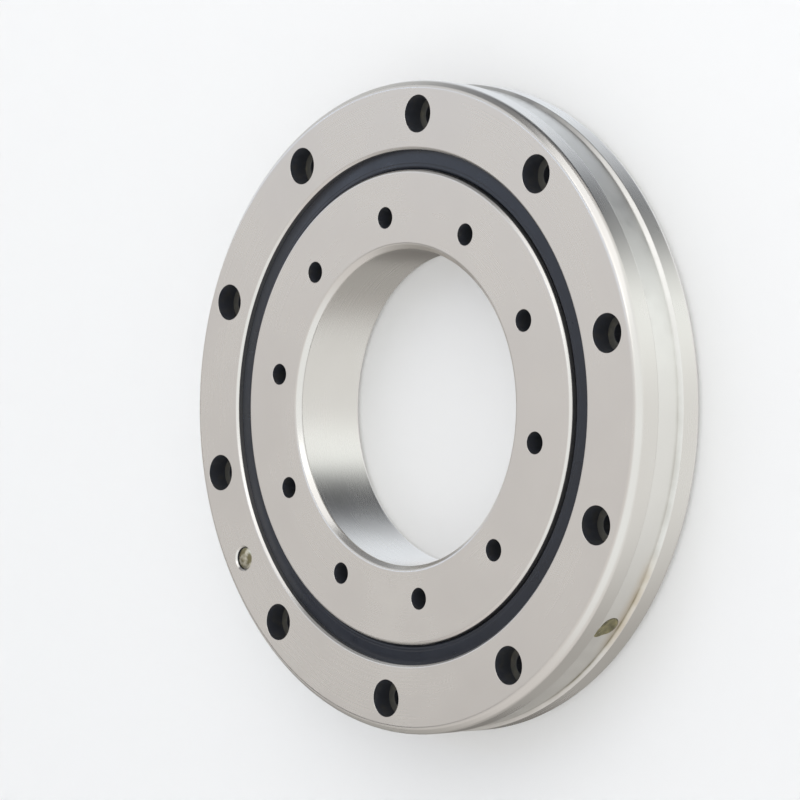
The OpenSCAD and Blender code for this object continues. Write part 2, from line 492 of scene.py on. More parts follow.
@dataclass(frozen=True)
class TurnedSteel:
    """Steel that was turned and not ground, so duller; old grease lies in the groove beside the port."""

    name: str = "bearing_steel_turned_greasy"
    bare: str = "D6D4D0"
    # Colour of the darker line in the corner of floor and rear wall
    corner_line: str = "8E897C"
    film: str = "BBAA90"
    residue: str = "5F5A38"
    roughness: tuple[float, float] = (0.33, 0.45)
    # Real turning marks are about 0.1 mm apart; these are drawn coarser, so that they show
    mark_mm: float = 0.5
    mark_strength: float = 0.12
    mark_height_mm: float = 0.03
    cloud_mm: float = 5.0
    # Height of the corner of floor and rear wall, where the grease gathers
    corner_mm: float = -3.5
    # A darker grey-brown line along the corner of floor and rear wall, which thins out a sixth of the way
    # round to each side
    corner_line_reach: float = 62.0
    corner_line_half_mm: float = 1.3
    corner_line_share: float = 0.32
    # A thin tan film on the groove's floor: the angle of its middle and how far it reaches
    film_angle: float = -50.0
    film_reach: float = 12.0
    film_half_mm: float = 3.2
    film_share: float = 0.55
    # A line of thick grease in the corner
    residue_angle: float = -59.0
    residue_reach: float = 19.0
    residue_half_mm: float = 0.4
    residue_share: float = 0.7
    # What is left of each layer in its thinnest places, and from where in the clouds' range it is whole
    thinnest: float = 0.55
    whole_from: float = 0.6
    # Share of its reach within which a layer doesn't thin out
    core: float = 1 / 3

    def make(self) -> bpy.types.Material:
        """Builds the material.

        Returns:
            The finished material.
        """
        material, tree, shader = new_material(self.name)
        place = add_node(tree, "ShaderNodeTexCoord").outputs["Object"]
        marks = add_node(tree, "ShaderNodeTexNoise",
                         {"Vector": axis_coordinates(tree), "Scale": 1 / (self.mark_mm * MM), "Detail": 2.0},
                         noise_dimensions="2D")
        cloud = add_node(tree, "ShaderNodeTexNoise",
                         {"Vector": place, "Scale": 1 / (self.cloud_mm * MM), "Detail": 3.0})
        patchy = add_node(tree, "ShaderNodeMapRange",
                          {"Value": cloud.outputs[0], "From Min": NOISE_LOW, "From Max": self.whole_from,
                           "To Min": self.thinnest, "To Max": 1.0})
        outwards = add_node(tree, "ShaderNodeVectorMath", {0: place, 1: (1, 1, 0)}, operation="MULTIPLY")
        unit = add_node(tree, "ShaderNodeVectorMath", {0: outwards.outputs[0]}, operation="NORMALIZE")
        height = add_node(tree, "ShaderNodeSeparateXYZ", {0: place}).outputs[2]
        above = add_node(tree, "ShaderNodeMath", {0: height, 1: self.corner_mm * MM}, operation="SUBTRACT")
        beside = add_node(tree, "ShaderNodeMath", {0: above.outputs[0]}, operation="ABSOLUTE")
        colour = linear(self.bare)
        for layer, angle, reach, width, weight in (
            (self.corner_line, self.film_angle, self.corner_line_reach, self.corner_line_half_mm, self.corner_line_share),
            (self.film, self.film_angle, self.film_reach, self.film_half_mm, self.film_share),
            (self.residue, self.residue_angle, self.residue_reach, self.residue_half_mm, self.residue_share),
        ):
            facing = add_node(tree, "ShaderNodeVectorMath", {0: unit.outputs[0], 1: polar(1, angle)},
                              operation="DOT_PRODUCT")
            near = add_node(tree, "ShaderNodeMapRange",
                            {"Value": facing.outputs["Value"], "From Min": math.cos(math.radians(reach)),
                             "From Max": math.cos(math.radians(reach * self.core))},
                            interpolation_type="SMOOTHSTEP")
            low = add_node(tree, "ShaderNodeMapRange",
                           {"Value": beside.outputs[0], "From Min": width * MM, "From Max": 0.0,
                            "To Max": weight},
                           interpolation_type="SMOOTHSTEP")
            share = low
            for factor in (near, patchy):
                share = add_node(tree, "ShaderNodeMath", {0: share.outputs[0], 1: factor.outputs[0]},
                                 operation="MULTIPLY")
            mixed = add_node(tree, "ShaderNodeMix",
                             {MIX_SHARE: share.outputs[0], MIX_FROM: colour, MIX_TO: linear(layer)},
                             data_type="RGBA")
            colour = mixed.outputs[MIX_RESULT]
        dull = add_node(tree, "ShaderNodeMapRange",
                        {"Value": cloud.outputs[0], "From Min": NOISE_LOW, "From Max": NOISE_HIGH,
                         "To Min": self.roughness[0], "To Max": self.roughness[1]})
        relief = add_node(tree, "ShaderNodeBump",
                          {"Strength": self.mark_strength, "Distance": self.mark_height_mm * MM,
                           "Height": marks.outputs[0]})
        feed(tree, shader, {"Base Color": colour, "Roughness": dull.outputs[0], "Normal": relief.outputs[0],
                            "Metallic": 1.0})
        return material


@dataclass(frozen=True)
class DrilledSteel:
    """Walls of drilled holes: the dark skin of the heat treatment, which no grinding reached, under oil."""

    name: str = "bearing_steel_drilled_dark"
    dark: str = "35373D"
    worn: str = "4A463A"
    roughness: float = 0.4
    # Marks of the drill, drawn coarser than they are, so that they show
    mark_mm: float = 0.45
    mark_strength: float = 0.25
    mark_height_mm: float = 0.03
    # Size of the worn patches, where in their range the wear starts and is full, and how far it goes
    patch_mm: float = 2.0
    worn_band: tuple[float, float] = (0.5, 0.8)
    wear: float = 0.6

    def make(self) -> bpy.types.Material:
        """Builds the material.

        Returns:
            The finished material.
        """
        material, tree, shader = new_material(self.name)
        place = add_node(tree, "ShaderNodeTexCoord").outputs["Object"]
        height = add_node(tree, "ShaderNodeSeparateXYZ", {0: place}).outputs[2]
        marks = add_node(tree, "ShaderNodeTexNoise",
                         {"W": height, "Scale": 1 / (self.mark_mm * MM), "Detail": 2.0},
                         noise_dimensions="1D")
        _, colour = clouded(tree, (self.dark, self.worn), self.patch_mm, self.worn_band, self.wear)
        relief = add_node(tree, "ShaderNodeBump",
                          {"Strength": self.mark_strength, "Distance": self.mark_height_mm * MM,
                           "Height": marks.outputs[0]})
        feed(tree, shader, {"Base Color": colour, "Roughness": self.roughness,
                            "Normal": relief.outputs[0]})
        return material


@dataclass(frozen=True)
class SealRubber:
    """Moulded nitrile rubber: blue-black, with the sheen of a smooth mould and a thin film of oil."""

    name: str = "nitrile_rubber_moulded"
    dark: str = "161A22"
    bloom: str = "1E232E"
    roughness: tuple[float, float] = (0.24, 0.38)
    specular: float = 0.4
    cloud_mm: float = 9.0
    # Grain of the mould, drawn coarser than it is, so that it shows
    grain_mm: float = 0.5
    grain_strength: float = 0.1
    grain_height_mm: float = 0.02

    def make(self) -> bpy.types.Material:
        """Builds the material.

        Returns:
            The finished material.
        """
        material, tree, shader = new_material(self.name)
        place = add_node(tree, "ShaderNodeTexCoord").outputs["Object"]
        clouds, colour = clouded(tree, (self.dark, self.bloom), self.cloud_mm)
        grain = add_node(tree, "ShaderNodeTexNoise",
                         {"Vector": place, "Scale": 1 / (self.grain_mm * MM), "Detail": 2.0})
        sheen = add_node(tree, "ShaderNodeMapRange",
                         {"Value": clouds, "From Min": NOISE_LOW, "From Max": NOISE_HIGH,
                          "To Min": self.roughness[0], "To Max": self.roughness[1]})
        relief = add_node(tree, "ShaderNodeBump",
                          {"Strength": self.grain_strength, "Distance": self.grain_height_mm * MM,
                           "Height": grain.outputs[0]})
        feed(tree, shader, {"Base Color": colour, "Roughness": sheen.outputs[0],
                            "Normal": relief.outputs[0], "Specular IOR Level": self.specular})
        return material


@dataclass(frozen=True)
class PinSteel:
    """Soft steel of the taper pin, cut off and left greasy: an olive film over a dull grey end."""

    name: str = "taper_pin_steel_oily"
    bare: str = "C9C6B6"
    film: str = "79745A"
    roughness: float = 0.28
    # Size of the oily patches, which are dented too, and where in their range the film starts and is full
    patch_mm: float = 2.6
    film_band: tuple[float, float] = (0.42, 0.6)
    dent_strength: float = 0.8
    dent_height_mm: float = 0.3
    scratch_mm: float = 0.5
    scratch_strength: float = 0.2
    scratch_height_mm: float = 0.03

    def make(self) -> bpy.types.Material:
        """Builds the material.

        Returns:
            The finished material.
        """
        material, tree, shader = new_material(self.name)
        place = add_node(tree, "ShaderNodeTexCoord").outputs["Object"]
        patches, colour = clouded(tree, (self.bare, self.film), self.patch_mm, self.film_band, detail=3.0)
        scratch = add_node(tree, "ShaderNodeTexNoise",
                           {"Vector": place, "Scale": 1 / (self.scratch_mm * MM), "Detail": 3.0})
        dents = add_node(tree, "ShaderNodeBump",
                         {"Strength": self.dent_strength, "Distance": self.dent_height_mm * MM,
                          "Height": patches})
        relief = add_node(tree, "ShaderNodeBump",
                          {"Strength": self.scratch_strength, "Distance": self.scratch_height_mm * MM,
                           "Height": scratch.outputs[0], "Normal": dents.outputs[0]})
        feed(tree, shader, {"Base Color": colour, "Roughness": self.roughness,
                            "Normal": relief.outputs[0], "Metallic": 1.0})
        return material


@dataclass(frozen=True)
class PortGrease:
    """Bearing grease that has set in the port: olive, soft and a little wet."""

    name: str = "lithium_grease_olive"
    thick: str = "48432A"
    thin: str = "7C7550"
    roughness: float = 0.4
    # Size of its lumps, and where in their range the grease starts to thin out and is thin
    lump_mm: float = 1.6
    thin_band: tuple[float, float] = (0.35, 0.65)
    lump_strength: float = 0.5
    lump_height_mm: float = 0.1

    def make(self) -> bpy.types.Material:
        """Builds the material.

        Returns:
            The finished material.
        """
        material, tree, shader = new_material(self.name)
        lumps, colour = clouded(tree, (self.thick, self.thin), self.lump_mm, self.thin_band)
        relief = add_node(tree, "ShaderNodeBump",
                          {"Strength": self.lump_strength, "Distance": self.lump_height_mm * MM,
                           "Height": lumps})
        feed(tree, shader, {"Base Color": colour, "Roughness": self.roughness,
                            "Normal": relief.outputs[0]})
        return material


@dataclass(frozen=True)
class RollerSteel:
    """Bearing steel of the rollers, superfinished: bright, with barely a mark."""

    name: str = "bearing_steel_superfinished"
    bright: str = "D6D5D3"
    shade: str = "CBC9C5"
    roughness: tuple[float, float] = (0.11, 0.19)
    cloud_mm: float = 4.0

    def make(self) -> bpy.types.Material:
        """Builds the material.

        Returns:
            The finished material.
        """
        material, tree, shader = new_material(self.name)
        clouds, colour = clouded(tree, (self.bright, self.shade), self.cloud_mm, detail=3.0)
        polish = add_node(tree, "ShaderNodeMapRange",
                          {"Value": clouds, "From Min": NOISE_LOW, "From Max": NOISE_HIGH,
                           "To Min": self.roughness[0], "To Max": self.roughness[1]})
        feed(tree, shader, {"Base Color": colour, "Roughness": polish.outputs[0], "Metallic": 1.0})
        return material


@dataclass(frozen=True)
class SpacerResin:
    """Moulded polyamide of the spacers: tan, matt, darkened by grease in its hollows."""

    name: str = "polyamide_moulded_tan"
    clean: str = "B89F78"
    greasy: str = "8F774F"
    roughness: float = 0.5
    cloud_mm: float = 3.0
    relief_strength: float = 0.2
    relief_height_mm: float = 0.05

    def make(self) -> bpy.types.Material:
        """Builds the material.

        Returns:
            The finished material.
        """
        material, tree, shader = new_material(self.name)
        clouds, colour = clouded(tree, (self.clean, self.greasy), self.cloud_mm)
        relief = add_node(tree, "ShaderNodeBump",
                          {"Strength": self.relief_strength, "Distance": self.relief_height_mm * MM,
                           "Height": clouds})
        feed(tree, shader, {"Base Color": colour, "Roughness": self.roughness,
                            "Normal": relief.outputs[0]})
        return material


@dataclass
class Finishes:
    """The bearing's materials, each made once."""

    ground: bpy.types.Material = field(default_factory=lambda: GroundSteel().make())
    turned: bpy.types.Material = field(default_factory=lambda: TurnedSteel().make())
    drilled: bpy.types.Material = field(default_factory=lambda: DrilledSteel().make())
    # The counterbores' floors: a spotfaced finish, drawn lighter than the walls partly as painted light that
    # falls into the holes
    spotfaced_and_lit: bpy.types.Material = field(
        default_factory=lambda: DrilledSteel(
            name="bearing_steel_spotfaced_and_lit", dark="55544F", worn="797262", roughness=0.45).make())
    rubber: bpy.types.Material = field(default_factory=lambda: SealRubber().make())
    pin: bpy.types.Material = field(default_factory=lambda: PinSteel().make())
    grease: bpy.types.Material = field(default_factory=lambda: PortGrease().make())
    roller: bpy.types.Material = field(default_factory=lambda: RollerSteel().make())
    resin: bpy.types.Material = field(default_factory=lambda: SpacerResin().make())


# The bearing


@dataclass
class LockingPin:
    """The taper pin that locks the filler plug, and its hole, in mm."""

    angle: float = 199.2
    circle_r: float = 74.0
    front_r: float = 3.0
    rear_r: float = 2.78
    recess: float = 0.5
    gap: float = 0.05
    countersink: float = 0.4
    # The ends: height of their crown, share of the radius where it starts to fall, and their worn edge
    crown: float = 0.04
    crown_share: float = 0.6
    edge: float = 0.2
    edge_round: float = 0.15
    # Share of an end's radius inside its dark rim, a painted shade of the gap round the pin
    unshaded_share: float = 0.9

    def hole(self, wall: bpy.types.Material, edges: bpy.types.Material) -> bpy.types.Object:
        """Models the shape of the pin's hole, countersunk at both faces.

        Args:
            wall: The finish of the hole's wall.
            edges: The finish of the countersinks.

        Returns:
            The shape of the hole.
        """
        past, sink = HALF_W + OVERCUT, self.countersink
        profile = [
            (0, -past), (self.rear_r + sink + OVERCUT, -past), (self.rear_r, -HALF_W + sink),
            (self.front_r, HALF_W - sink), (self.front_r + sink + OVERCUT, past), (0, past),
        ]
        piece = upright_at(self.circle_r, self.angle).turn(
            "pin_hole", [Corner(*p) for p in profile], HOLE_STEPS, closed=False)
        piece.data.materials.append(wall)
        paint_faces(piece, edges, lambda r, z: abs(z) > HALF_W - sink)
        return piece

    def build(self, finishes: Finishes) -> bpy.types.Object:
        """Models the pin with slightly crowned ends and puts it in place of its solid.

        Args:
            finishes: The bearing's materials.

        Returns:
            The pin.
        """
        end_z = HALF_W - self.recess
        rear_r, front_r = self.rear_r - self.gap, self.front_r - self.gap
        section = [
            Corner(0, -end_z),
            Corner(rear_r * self.crown_share, -end_z + self.crown),
            Corner(rear_r, -end_z + self.edge, self.edge_round),
            Corner(front_r, end_z - self.edge, self.edge_round),
            Corner(front_r * self.crown_share, end_z - self.crown),
            Corner(0, end_z),
        ]
        piece = upright_at(self.circle_r, self.angle).turn("locking_pin", section, HOLE_STEPS, closed=False)
        # The pin's side and the rim of its ends take the dark drilled finish as painted shade of the gap
        # round the pin; the middle of each end gets the pin's own steel
        piece.data.materials.append(finishes.drilled)
        middle = polar(self.circle_r, self.angle) * MM
        paint_near(piece, finishes.pin, middle, self.unshaded_share * front_r)
        smooth(piece, angle=40)
        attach(piece, "outer")
        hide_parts("plug_pin")
        return piece


@dataclass(frozen=True)
class Raceway:
    """The square raceway that both rings share, with its relief, its lands and the seals' pockets, in mm."""

    pitch_r: float = 62.0
    relief_reach: float = 6.4125
    relief_half: float = 0.8
    relief_depth: float = 0.3
    land_reach: float = 0.7
    land_z: float = 6.5125
    land_edge: float = 0.1
    pocket_z: float = 8.0
    pocket_edge: float = 0.05
    pocket_chamfer: float = 0.6

    def corners(self, ring: Ring) -> list[Corner]:
        """Gives the corners of a ring's upper half from the raceway's relief to the seal's pocket.

        Args:
            ring: The ring.

        Returns:
            The corners in order.
        """
        way = ring.value
        root_r, land_r = self.pitch_r + way * self.relief_reach, self.pitch_r + way * self.land_reach
        return [
            Corner(root_r + way * self.relief_depth, self.relief_half),
            Corner(root_r, self.relief_half),
            Corner(land_r, self.land_z, self.land_edge),
            Corner(land_r, self.pocket_z, self.pocket_edge),
        ]


@dataclass
class OuterRing:
    """The outer ring, with its screw holes, grease groove and port, and the filler plug in it, in mm."""

    outer_r: float = 82.5
    rim_chamfer: float = 1.5
    groove_half: float = 4.4
    groove_depth: float = 0.9
    pocket_r: float = 65.0
    bead_r: float = 65.6
    bead_low_z: float = 8.3
    bead_high_z: float = 9.1
    # How far its edges are rounded
    pocket_edge: float = 0.15
    face_edge: float = 0.6
    rim_edge: float = 0.65
    groove_edge: float = 0.15
    groove_corner: float = 0.25
    # The filler plug, and how far inside the pitch circle the bar that it is cut from starts
    plug_r: float = 7.5
    plug_gap: float = 0.02
    plug_reach: float = 5.0
    # The grease port, its broken edge and its channel to the raceway
    port_angle: float = -54.0
    port_r: float = 2.5
    port_depth: float = 8.0
    port_edge: float = 0.25
    channel_r: float = 1.0
    raceway: Raceway = Raceway()
    screw_holes: ScrewHoles = ScrewHoles(circle_r=74.0, first_angle=0.0, counterbored=Side.FRONT)
    pin: LockingPin = field(default_factory=LockingPin)

    def floor_r(self) -> float:
        """Gives the radius of the groove's floor."""
        return self.outer_r - self.groove_depth

    def section(self) -> list[Corner]:
        """Gives the ring's section, with its edges broken as the grinder left them.

        Returns:
            The corners in order.
        """
        chamfer = self.raceway.pocket_chamfer
        return mirrored([
            *self.raceway.corners(Ring.OUTER),
            Corner(self.pocket_r, self.raceway.pocket_z),
            Corner(self.pocket_r, self.bead_low_z),
            Corner(self.bead_r, self.bead_low_z),
            Corner(self.bead_r, self.bead_high_z),
            Corner(self.pocket_r, self.bead_high_z),
            Corner(self.pocket_r, HALF_W - chamfer, self.pocket_edge),
            Corner(self.pocket_r + chamfer, HALF_W, self.pocket_edge),
            Corner(self.outer_r - self.rim_chamfer, HALF_W, self.face_edge),
            Corner(self.outer_r, HALF_W - self.rim_chamfer, self.rim_edge),
            Corner(self.outer_r, self.groove_half, self.groove_edge),
            Corner(self.floor_r(), self.groove_half - self.groove_depth, self.groove_corner),
        ])

    def in_groove(self, r: float, z: float) -> bool:
        """Says whether a face of the ring lies in the grease groove."""
        return abs(z) < self.groove_half and self.floor_r() < r + FACE_SLACK < self.outer_r

    def blank(self, name: str, finishes: Finishes) -> bpy.types.Object:
        """Turns the ring as it is before it is drilled.

        Args:
            name: The new piece's name.
            finishes: The bearing's materials.

        Returns:
            The ring, ground all over but for its groove.
        """
        piece = Lathe().turn(name, self.section(), RING_STEPS)
        piece.data.materials.append(finishes.ground)
        paint_faces(piece, finishes.turned, self.in_groove)
        return piece

    def plug_shape(self, gap: float, material: bpy.types.Material) -> bpy.types.Object:
        """Models the round bar of the filler plug or of its hole.

        Args:
            gap: How much wider than the plug it is, all round.
            material: The finish of its side.

        Returns:
            The bar, which runs past the rim.
        """
        near, far = self.raceway.pitch_r - self.plug_reach, self.outer_r + OVERCUT
        radius = self.plug_r + gap
        profile = [(0, near), (radius, near), (radius, far), (0, far)]
        piece = radial_at(self.pin.angle).turn(
            "plug_bar", [Corner(*p) for p in profile], PLUG_STEPS, closed=False)
        piece.data.materials.append(material)
        return piece

    def port_shape(self, material: bpy.types.Material) -> bpy.types.Object:
        """Models the shape of the grease port and of its channel to the raceway.

        Args:
            material: The finish of its wall.

        Returns:
            The shape, which runs past the rim.
        """
        near, step_r = self.raceway.pitch_r, self.outer_r - self.port_depth
        edge_r, far = self.floor_r() - self.port_edge, self.outer_r + OVERCUT
        profile = [
            (0, near), (self.channel_r, near), (self.channel_r, step_r), (self.port_r, step_r),
            (self.port_r, edge_r), (self.port_r + far - edge_r, far), (0, far),
        ]
        piece = radial_at(self.port_angle).turn(
            "port", [Corner(*p) for p in profile], PORT_STEPS, closed=False)
        piece.data.materials.append(material)
        return piece

    def build_ring(self, finishes: Finishes) -> bpy.types.Object:
        """Models the drilled ring and puts it in place of its solid.

        Args:
            finishes: The bearing's materials.

        Returns:
            The ring.
        """
        piece = self.blank("outer_ring_ground", finishes)
        cut(piece, self.screw_holes.cutter(finishes.drilled, finishes.spotfaced_and_lit, finishes.ground))
        cut(piece, self.plug_shape(self.plug_gap, finishes.ground))
        cut(piece, self.pin.hole(finishes.drilled, finishes.ground))
        cut(piece, self.port_shape(finishes.drilled))
        smooth(piece)
        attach(piece, "outer")
        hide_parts("outer_ring")
        return piece

    def build_plug(self, finishes: Finishes) -> bpy.types.Object:
        """Models the filler plug, which carries on the raceway, rim and groove, in place of its solid.

        Args:
            finishes: The bearing's materials.

        Returns:
            The plug.
        """
        piece = self.blank("filler_plug_ground", finishes)
        cut(piece, self.plug_shape(0.0, finishes.ground), Keep.INSIDE)
        cut(piece, self.pin.hole(finishes.drilled, finishes.ground))
        smooth(piece)
        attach(piece, "outer")
        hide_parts("filler_plug")
        return piece


@dataclass
class InnerRing:
    """The inner ring, with its bore and screw holes, in mm."""

    bore_r: float = 40.0
    bore_chamfer: float = 1.3
    pocket_r: float = 60.0
    # How far its edges are rounded
    pocket_edge: float = 0.2
    face_edge: float = 0.4
    bore_edge: float = 0.3
    raceway: Raceway = Raceway()
    screw_holes: ScrewHoles = ScrewHoles(circle_r=48.5, first_angle=12.0, counterbored=Side.REAR)

    def section(self) -> list[Corner]:
        """Gives the ring's section, with its edges broken as the grinder left them.

        Returns:
            The corners in order.
        """
        chamfer = self.raceway.pocket_chamfer
        return mirrored([
            *self.raceway.corners(Ring.INNER),
            Corner(self.pocket_r, self.raceway.pocket_z),
            Corner(self.pocket_r, HALF_W - chamfer, self.pocket_edge),
            Corner(self.pocket_r - chamfer, HALF_W, self.pocket_edge),
            Corner(self.bore_r + self.bore_chamfer, HALF_W, self.face_edge),
            Corner(self.bore_r, HALF_W - self.bore_chamfer, self.bore_edge),
        ])

    def build(self, finishes: Finishes) -> bpy.types.Object:
        """Models the drilled ring and puts it in place of its solid.

        Args:
            finishes: The bearing's materials.

        Returns:
            The ring.
        """
        piece = Lathe().turn("inner_ring_ground", self.section(), RING_STEPS)
        piece.data.materials.append(finishes.ground)
        cut(piece, self.screw_holes.cutter(finishes.drilled, finishes.spotfaced_and_lit, finishes.ground))
        smooth(piece)
        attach(piece, "inner")
        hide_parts("inner_ring")
        return piece


@dataclass
class Seal:
    """A rubber seal between the rings: a foot and a bead in the outer ring, and a lip to the inner, in mm."""

    side: Side
    foot_r: float = 64.95
    bead_r: float = 65.55
    bead_low_z: float = 8.35
    bead_high_z: float = 9.05
    inside_r: float = 62.75
    floor_z: float = 8.0
    lip_r: float = 60.08
    lip_z: float = 8.6
    lip_top_z: float = 8.9
    under_r: float = 61.3
    face_z: float = 9.6
    fall: float = 0.5
    # Widths of the slopes at its brim, by the foot, and at its brow, over the lip
    brim: float = 0.9
    brow: float = 0.63
    # A shallow line that sets the sealing lip off from the seal's body
    line_r: float = 61.55
    line_half: float = 0.16
    line_depth: float = 0.05
    # How far its edges are rounded
    foot_edge: float = 0.1
    bead_edge: float = 0.15
    face_edge: float = 0.25
    line_edge: float = 0.06
    lip_top_edge: float = 0.08
    lip_edge: float = 0.05

    def section(self) -> list[Corner]:
        """Gives the seal's section at the front face, which slopes down a little from its lip outwards.

        Returns:
            The corners in order.
        """
        brow_r, brim_r = self.lip_r + self.brow, self.foot_r - self.brim
        slope = self.fall / (brim_r - brow_r)
        line_z = self.face_z - slope * (self.line_r - brow_r)
        return [
            Corner(self.inside_r, self.floor_z, self.foot_edge),
            Corner(self.foot_r, self.floor_z, self.foot_edge),
            Corner(self.foot_r, self.bead_low_z),
            Corner(self.bead_r, self.bead_low_z, self.bead_edge),
            Corner(self.bead_r, self.bead_high_z, self.bead_edge),
            Corner(self.foot_r, self.bead_high_z),
            Corner(brim_r, self.face_z - self.fall, self.face_edge),
            Corner(self.line_r + self.line_half, line_z - slope * self.line_half, self.line_edge),
            Corner(self.line_r, line_z - self.line_depth, self.line_edge),
            Corner(self.line_r - self.line_half, line_z + slope * self.line_half, self.line_edge),
            Corner(brow_r, self.face_z, self.face_edge),
            Corner(self.lip_r, self.lip_top_z, self.lip_top_edge),
            Corner(self.lip_r, self.lip_z, self.lip_edge),
            Corner(self.under_r, self.lip_z),
        ]

    def build(self, finishes: Finishes) -> bpy.types.Object:
        """Models the seal at its face and puts it in place of its solid.

        Args:
            finishes: The bearing's materials.

        Returns:
            The seal.
        """
        flip = self.side.value
        corners = [Corner(c.r, flip * c.z, c.rounding) for c in self.section()]
        name = self.side.name.lower()
        piece = Lathe().turn(f"{name}_seal_rubber", corners, RING_STEPS)
        piece.data.materials.append(finishes.rubber)
        smooth(piece, angle=40)
        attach(piece, "outer")
        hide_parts(f"{name}_seal")
        return piece


@dataclass
class PortFilling:
    """Grease that stands in the ring's port and has crept out over the groove's floor, in mm."""

    ring: OuterRing
    gap: float = 0.05
    depth: float = 2.2
    steps: int = 40
    # How far under the groove's floor the wall of the filling ends, and how far its rim runs out and rises
    neck: float = 0.3
    rim_out: float = 0.35
    rim_rise: float = 0.06
    # Crest and dent of its top: share of the port's radius, and height or depth
    crest_share: float = 0.75
    crest: float = 0.12
    dent_share: float = 0.45
    dent: float = 0.25
    dent_middle: float = 0.4
    # How far the grease was smeared along the groove and towards the front, and how ragged its edge is
    smear_mm: float = 1.9
    smear_reach: float = 2.2
    ragged_mm: float = 0.14
    # Where the rim begins, beside the port and under the floor, and how much of it is taken hold of
    rim_start: float = 0.2
    hold_r: float = 0.5

    def smear(self, piece: bpy.types.Object) -> None:
        """Drags the filling's rim along the groove and to the front, and leaves its edge ragged.

        Args:
            piece: The filling, just turned.
        """
        angle, floor_r = self.ring.port_angle, self.ring.floor_r()
        out = polar(1, angle)
        way = (polar(1, angle - 90) + Z_AXIS).normalized()
        rim_r = self.ring.port_r - self.gap + self.rim_start
        middle = out * floor_r * MM
        tip = (out * floor_r + way * rim_r) * MM
        pick_points(piece, lambda p: (p - tip).length < self.hold_r * MM)
        bpy.ops.transform.translate(value=way * self.smear_mm * MM, use_proportional_edit=True,
                                    proportional_edit_falloff="SMOOTH",
                                    proportional_size=self.smear_reach * MM)
        bpy.ops.object.mode_set(mode="OBJECT")
        pick_points(piece, lambda p: (p - middle).length > rim_r * MM
                    and p.dot(out) > (floor_r - self.rim_start) * MM)
        bpy.ops.transform.vertex_random(offset=self.ragged_mm * MM, seed=4)
        bpy.ops.object.mode_set(mode="OBJECT")

    def build(self, finishes: Finishes) -> bpy.types.Object:
        """Models the filling as a dented plug with a smeared rim that runs over the port's edge.

        Args:
            finishes: The bearing's materials.

        Returns:
            The filling.
        """
        radius, top = self.ring.port_r - self.gap, self.ring.floor_r()
        near = top - self.depth
        profile = [
            (0, near), (radius, near), (radius, top - self.neck),
            (radius + self.rim_out, top + self.rim_rise), (radius * self.crest_share, top + self.crest),
            (radius * self.dent_share, top - self.dent), (0, top - self.dent_middle),
        ]
        piece = radial_at(self.ring.port_angle).turn(
            "port_grease", [Corner(*p) for p in profile], self.steps, closed=False)
        piece.data.materials.append(finishes.grease)
        only(piece)
        self.smear(piece)
        apply_modifier(piece, "SUBSURF", levels=1, render_levels=1)
        smooth(piece, angle=60)
        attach(piece, "outer")
        return piece


class RollingSet:
    """The rollers and spacers, whose solids stay and get their finish."""

    def dress(self, finishes: Finishes) -> list[str]:
        """Gives each roller and the spacers their material.

        Args:
            finishes: The bearing's materials.

        Returns:
            The names of the solids that were dressed.
        """
        dressed = []
        for name, node in sorted(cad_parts.items()):
            if name.startswith("roller_"):
                node.data.materials.clear()
                node.data.materials.append(finishes.resin if name == "roller_spacers" else finishes.roller)
                dressed.append(name)
        return dressed


# The studio


@dataclass(frozen=True)
class Patch:
    """A part of the room that is lighter or darker than its walls, by where it starts and where it is full.

    Each pair goes by how far a direction points up, towards the camera or to the right of the picture, and a
    pair of equal numbers sets no bound.
    """

    light: tuple[float, float, float]
    over: tuple[float, float] = (0.0, 0.0)
    ahead: tuple[float, float] = (0.0, 0.0)
    aside: tuple[float, float] = (0.0, 0.0)


